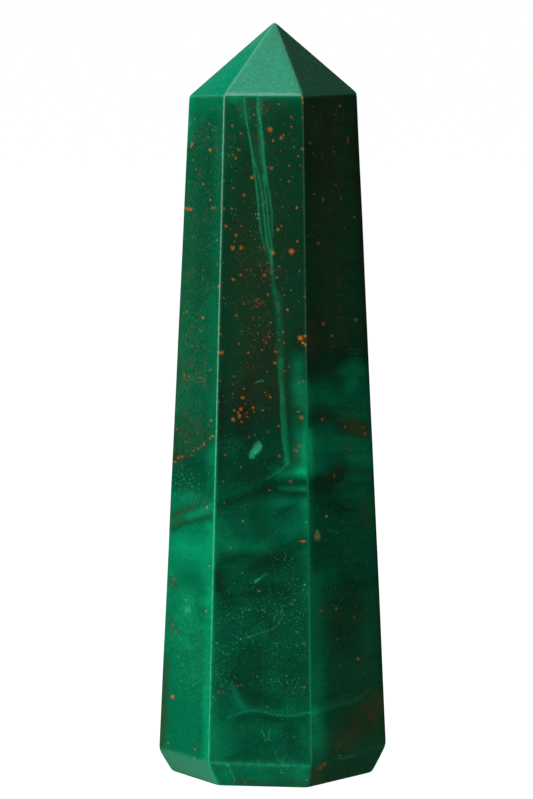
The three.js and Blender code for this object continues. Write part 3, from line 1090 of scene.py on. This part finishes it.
class Tree:
    """Short ways to add nodes to a material."""

    def __init__(self, name):
        self.material = bpy.data.materials.new(name)
        self.material.use_nodes = True
        self.nodes = self.material.node_tree.nodes
        self.links = self.material.node_tree.links
        self.shader = self.nodes["Principled BSDF"]

    def node(self, kind, inputs=None, **settings):
        node = self.nodes.new(kind)
        for name, value in settings.items():
            setattr(node, name, value)
        for name, value in (inputs or {}).items():
            self.feed(node.inputs[name], value)
        return node

    def feed(self, socket, value):
        if isinstance(value, bpy.types.NodeSocket):
            self.links.new(value, socket)
        elif isinstance(value, tuple) and socket.type == "RGBA":
            socket.default_value = (*value, 1)
        else:
            socket.default_value = value

    def math(self, operation, *values, clamp=False):
        inputs = dict(enumerate(values))
        return self.node("ShaderNodeMath", inputs, operation=operation, use_clamp=clamp).outputs[0]

    def product(self, first, *others):
        for value in others:
            first = self.math("MULTIPLY", first, value)
        return first

    def sum(self, first, *others):
        for value in others:
            first = self.math("ADD", first, value)
        return first

    def vector(self, operation, *values):
        inputs = dict(enumerate(values))
        node = self.node("ShaderNodeVectorMath", inputs, operation=operation)
        return node.outputs["Value" if operation in ("LENGTH", "DOT_PRODUCT", "DISTANCE") else "Vector"]

    def scaled(self, vector, scale):
        return self.node("ShaderNodeVectorMath", {0: vector, "Scale": scale}, operation="SCALE").outputs[0]

    def ramp(self, value, low, high, start=0.0, end=1.0):
        """A smooth step between two values."""
        inputs = {"Value": value, "From Min": low, "From Max": high, "To Min": start, "To Max": end}
        return self.node("ShaderNodeMapRange", inputs, interpolation_type="SMOOTHSTEP").outputs[0]

    def mix(self, factor, first, second):
        node = self.node("ShaderNodeMix", data_type="RGBA")
        self.feed(node.inputs[0], factor)
        self.feed(node.inputs[6], first)
        self.feed(node.inputs[7], second)
        return node.outputs[2]

    def noise(self, place, size, detail=2, distortion=0.0):
        """Noise from 0 to 1 with features of about that size."""
        inputs = {"Vector": place, "Scale": 1 / size, "Detail": detail, "Distortion": distortion}
        return self.node("ShaderNodeTexNoise", inputs).outputs

    def swing(self, place, size, amount, detail=2, distortion=0.0):
        """Noise that swings that much either way."""
        value = self.noise(place, size, detail, distortion)[0]
        return self.math("MULTIPLY", self.math("SUBTRACT", value, 0.5), amount * 2)

    def cells(self, place, size):
        """Distance to the middle of the nearest random cell, in its size, and the cell's own colour."""
        node = self.node("ShaderNodeTexVoronoi", {"Vector": place, "Scale": 1 / size})
        return node.outputs["Distance"], node.outputs["Color"]

    def paint(self, name, output="Fac"):
        return self.node("ShaderNodeAttribute", attribute_name=name).outputs[output]

    def parts(self, vector):
        return self.node("ShaderNodeSeparateXYZ", {0: vector}).outputs

    def joined(self, x, y, z):
        return self.node("ShaderNodeCombineXYZ", {0: x, 1: y, 2: z}).outputs[0]

    def stretched(self, place, x, y, z):
        return self.vector("MULTIPLY", place, (x, y, z))

    def jostled(self, place, size, amount):
        """Places moved about by up to about that much, over lengths of about that size."""
        shift = self.vector("SUBTRACT", self.noise(place, size)[1], (0.5, 0.5, 0.5))
        return self.vector("ADD", place, self.scaled(shift, amount))


def mark_cover(tree, gap, form):
    """How much a mark covers the surface at that gap from its middle."""
    width, feather, strength = tree.parts(form)
    return tree.ramp(gap, tree.sum(width, feather), tree.math("SUBTRACT", width, feather), 0, strength)


def mark_gap(tree, place, start, end):
    """How far a place is from a mark's middle line, or from its middle if the mark is a round one."""
    along = tree.vector("SUBTRACT", end, start)
    away = tree.vector("SUBTRACT", place, start)
    square = tree.math("MAXIMUM", tree.vector("DOT_PRODUCT", along, along), 1e-6)
    share = tree.math("DIVIDE", tree.vector("DOT_PRODUCT", away, along), square, clamp=True)
    return tree.vector("LENGTH", tree.vector("SUBTRACT", away, tree.scaled(along, share)))


def draw_marks(tree, place, colour, kind, slots, strength):
    """A kind of marks over a colour."""
    for slot in range(slots):
        start, end, form, tint = [tree.paint(f"{kind} {name} {slot}", "Vector") for name in MARK_VALUES]
        cover = mark_cover(tree, mark_gap(tree, place, start, end), form)
        colour = tree.mix(tree.product(cover, strength), colour, tint)
    return colour


def fibres(tree, place):
    """How strong a thin line is, in upright fibres and in longer stretches."""
    fine = tree.noise(tree.stretched(place, 1, 1, 0.1), 0.14)[0]
    long = tree.noise(place, 0.6)[0]
    return tree.product(tree.ramp(fine, 0.30, 0.62, 0.72, 1.04), tree.ramp(long, 0.25, 0.60, 0.75, 1.05))


def draw_dust(tree, place, colour):
    """Small irregular specks over a colour, in clumps."""
    thick = tree.product(tree.paint("specks"), 0.11)
    clumps = tree.swing(place, 2, 0.13)
    for size, tint, level, most in DUSTS:
        value = tree.sum(tree.noise(place, size, 3)[0], thick, clumps)
        colour = tree.mix(tree.product(tree.ramp(value, level, level + 0.06), most), colour, tint)
    return colour


def draw_grains(tree, place, colour, name, size, radius, clump, amount, tints):
    """Fine grains over a colour, in clusters, as thick as the paint of that name says.

    radius is a grain's largest one, in shares of the size of its cell.
    """
    distance, own = tree.cells(place, size)
    chance, strength, other = tree.parts(own)
    clusters = tree.ramp(tree.noise(place, clump, 3)[0], 0.35, 0.65, 0.15, 1)
    chosen = tree.math("LESS_THAN", chance, tree.product(tree.paint(name), clusters, amount))
    reach = tree.sum(tree.product(other, radius * 0.6), radius * 0.4)
    dot = tree.ramp(tree.math("DIVIDE", distance, reach), 1, 0.35)
    bright = tree.sum(tree.product(strength, strength, strength, 0.62), 0.1)
    tint = tree.mix(tree.product(other, other), *tints)
    return tree.mix(tree.product(dot, chosen, bright), colour, tint)


def stone_greens(tree, place):
    """The green of the stone, from its tone with the painted light and shade of each side, and with
    clouds, wisps, fibres and saw lines.
    """
    across, _, height = tree.parts(place)
    level = tree.vector("DOT_PRODUCT", place, STREAK_RISE)
    lines = tree.swing(tree.joined(level, tree.product(across, 0.05), 0), 0.3, 0.085, 1)
    calm = tree.math("SUBTRACT", 1, tree.product(tree.paint("streak"), 0.7))
    turn = {"Vector": place, "Angle": WISP_SLANT}
    slanted = tree.node("ShaderNodeVectorRotate", turn, rotation_type="Y_AXIS").outputs[0]
    tone = tree.sum(
        tree.paint("tone"),
        tree.swing(place, 7, 0.06, 4, 0.6),
        tree.swing(tree.stretched(slanted, 0.3, 0.3, 1), 1.3, 0.085, 4, 1.4),
        tree.product(tree.swing(tree.stretched(place, 1, 1, 0.05), 0.25, 0.04, 1), calm),
        tree.product(tree.swing(place, 0.15, 0.13, 1), calm),
        tree.product(tree.swing(place, 0.5, 0.08), calm),
        tree.product(tree.paint("sparkle"), 0.03),
        tree.product(lines, tree.ramp(height, 46, 52, 1, 1.9), tree.paint("streak")),
    )
    node = tree.node("ShaderNodeValToRGB", {"Fac": tone})
    ramp = node.color_ramp
    while len(ramp.elements) < len(GREENS):
        ramp.elements.new(0.5)
    for element, (position, colour) in zip(ramp.elements, GREENS):
        element.position = position
        element.color = (*colour, 1)
    return node.outputs["Color"]


def rusted(tree, place, colour):
    """Mottled brown over a colour where the paint says so."""
    blotches = tree.ramp(tree.noise(tree.stretched(place, 0.5, 0.5, 1), 0.8, 4)[0], 0.3, 0.72)
    cover = tree.product(tree.paint("rust"), tree.sum(tree.product(blotches, 0.28), 0.43))
    tint = tree.mix(tree.ramp(cover, 0.25, 0.75), OLIVE, BROWN)
    return tree.mix(tree.math("MINIMUM", cover, 0.9), colour, tint)


def marked(tree, place):
    """The stone's colour with its stains, specks and lines, before the worn and highlighted edges go over
    it.
    """
    colour = stone_greens(tree, place)
    grain = tree.sum(tree.swing(place, 0.18, 0.8, 3), tree.swing(place, 0.45, 0.42), 1)
    # Teal on the point's facets, partly painted light
    colour = tree.mix(tree.paint("teal"), colour, tree.scaled(tree.joined(*TEAL), grain))
    # Painted sheen: a painted reflection on the left bevel and a painted highlight along the point's left
    # edge
    colour = tree.mix(tree.paint("painted_sheen"), colour, SHEEN_TINT)
    # A painted reflection haze over the point's right facet, and a darker patch at the tip
    colour = tree.mix(tree.paint("haze"), colour, tree.scaled(tree.joined(*SMOKE), grain))
    colour = rusted(tree, place, colour)
    colour = draw_dust(tree, place, colour)
    jostled = tree.jostled(place, 0.12, 0.09)
    colour = draw_grains(tree, jostled, colour, "specks", 0.36, 0.28, 1.1, 0.8, (RUSTY, ORANGE))
    colour = draw_grains(tree, jostled, colour, "sparkle", 0.16, 0.55, 1.4, 2.1, (MINT, PALE))
    jostled = tree.jostled(place, 0.7, 0.16)
    colour = draw_marks(tree, jostled, colour, "line", LINE_SLOTS, fibres(tree, place))
    return draw_marks(tree, tree.jostled(place, 0.3, 0.42), colour, "speck", SPECK_SLOTS, 1)


def bloodstone():
    tree = Tree("bloodstone")
    inside = tree.node("ShaderNodeTexCoord").outputs["Object"]
    place = tree.scaled(inside, 1 / MM)
    _, _, height = tree.parts(place)
    # The edges' tint: pale cream high up, a painted highlight over real wear, turning to a painted green
    # glow low down
    pale = tree.mix(tree.ramp(height, 54, 38), CREAM, GLOW)
    uneven = tree.ramp(tree.noise(place, 0.5)[0], 0.1, 0.7, 0.35, 1.1)
    wear_and_highlight = tree.math("MULTIPLY", tree.paint("wear_and_highlight"), uneven, clamp=True)
    tree.feed(tree.shader.inputs["Base Color"], tree.mix(wear_and_highlight, marked(tree, place), pale))
    rough = tree.sum(tree.swing(place, 2.2, 0.04, 3), tree.product(wear_and_highlight, 0.25), 0.15)
    tree.feed(tree.shader.inputs["Roughness"], rough)
    tree.shader.inputs["IOR"].default_value = 1.54
    tree.shader.inputs["Specular IOR Level"].default_value = 0.27
    depth = tree.sum(tree.product(tree.paint("teal"), 2), 1)
    pits = tree.product(tree.noise(place, 0.12)[0], depth)
    bump = tree.node("ShaderNodeBump", {"Height": pits, "Distance": 0.002 * MM, "Strength": 1})
    tree.feed(tree.shader.inputs["Normal"], bump.outputs[0])
    return tree.material


# Studio

# The lights: turn and rise in degrees, distance, size, and power in watts
LIGHTS = {
    "key": (215, 24, 700, (480, 700), 4),
    "top": (250, 62, 600, (450, 450), 2.9),
    "haze": (127, 76, 600, (450, 450), 0.6),
    "fill": (318, 35, 800, (500, 500), 0.35),
    "back": (88, 52, 800, (300, 300), 1.5),
}
LIGHTS_AIM = Vector((0, 0, 45))
FLOOR_SIZE = 20000


def area_light(name, turn, rise, distance, size, power):
    """A softbox facing the stone, from a turn round it and a rise above the floor in degrees."""
    turn, rise = radians(turn), radians(rise)
    away = Vector((cos(rise) * cos(turn), cos(rise) * sin(turn), sin(rise)))
    data = bpy.data.lights.new(name, "AREA")
    data.shape = "RECTANGLE"
    data.size, data.size_y = [side * MM for side in size]
    data.energy = power
    light = linked(name, data)
    light.location = (LIGHTS_AIM + away * distance) * MM
    light.rotation_euler = away.to_track_quat("Z", "Y").to_euler()
    light.visible_camera = False


def make_studio():
    world = bpy.data.worlds.new("studio")
    bpy.context.scene.world = world
    world.use_nodes = True
    background = world.node_tree.nodes["Background"]
    background.inputs["Color"].default_value = (1, 1, 1, 1)
    background.inputs["Strength"].default_value = 1
    world.cycles_visibility.diffuse = False
    world.cycles_visibility.glossy = False
    for name, settings in LIGHTS.items():
        area_light(name, *settings)
    bpy.context.scene.view_settings.view_transform = "Standard"


def make_floor():
    """A floor lit through from below, so white that it shows no shadow."""
    bpy.ops.mesh.primitive_plane_add(size=FLOOR_SIZE * MM)
    floor = bpy.context.object
    floor.name = "floor"
    floor.visible_glossy = False
    tree = Tree("floor")
    tree.feed(tree.shader.inputs["Base Color"], (0.1, 0.1, 0.1))
    tree.feed(tree.shader.inputs["Roughness"], 0.9)
    tree.feed(tree.shader.inputs["Emission Color"], (1.0, 1.0, 1.0))
    tree.feed(tree.shader.inputs["Emission Strength"], 1.0)
    floor.data.materials.append(tree.material)


make_camera()
stone = make_stone()
stone.data.materials.append(bloodstone())
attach(stone, "root")
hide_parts("tower")
make_floor()
make_studio()
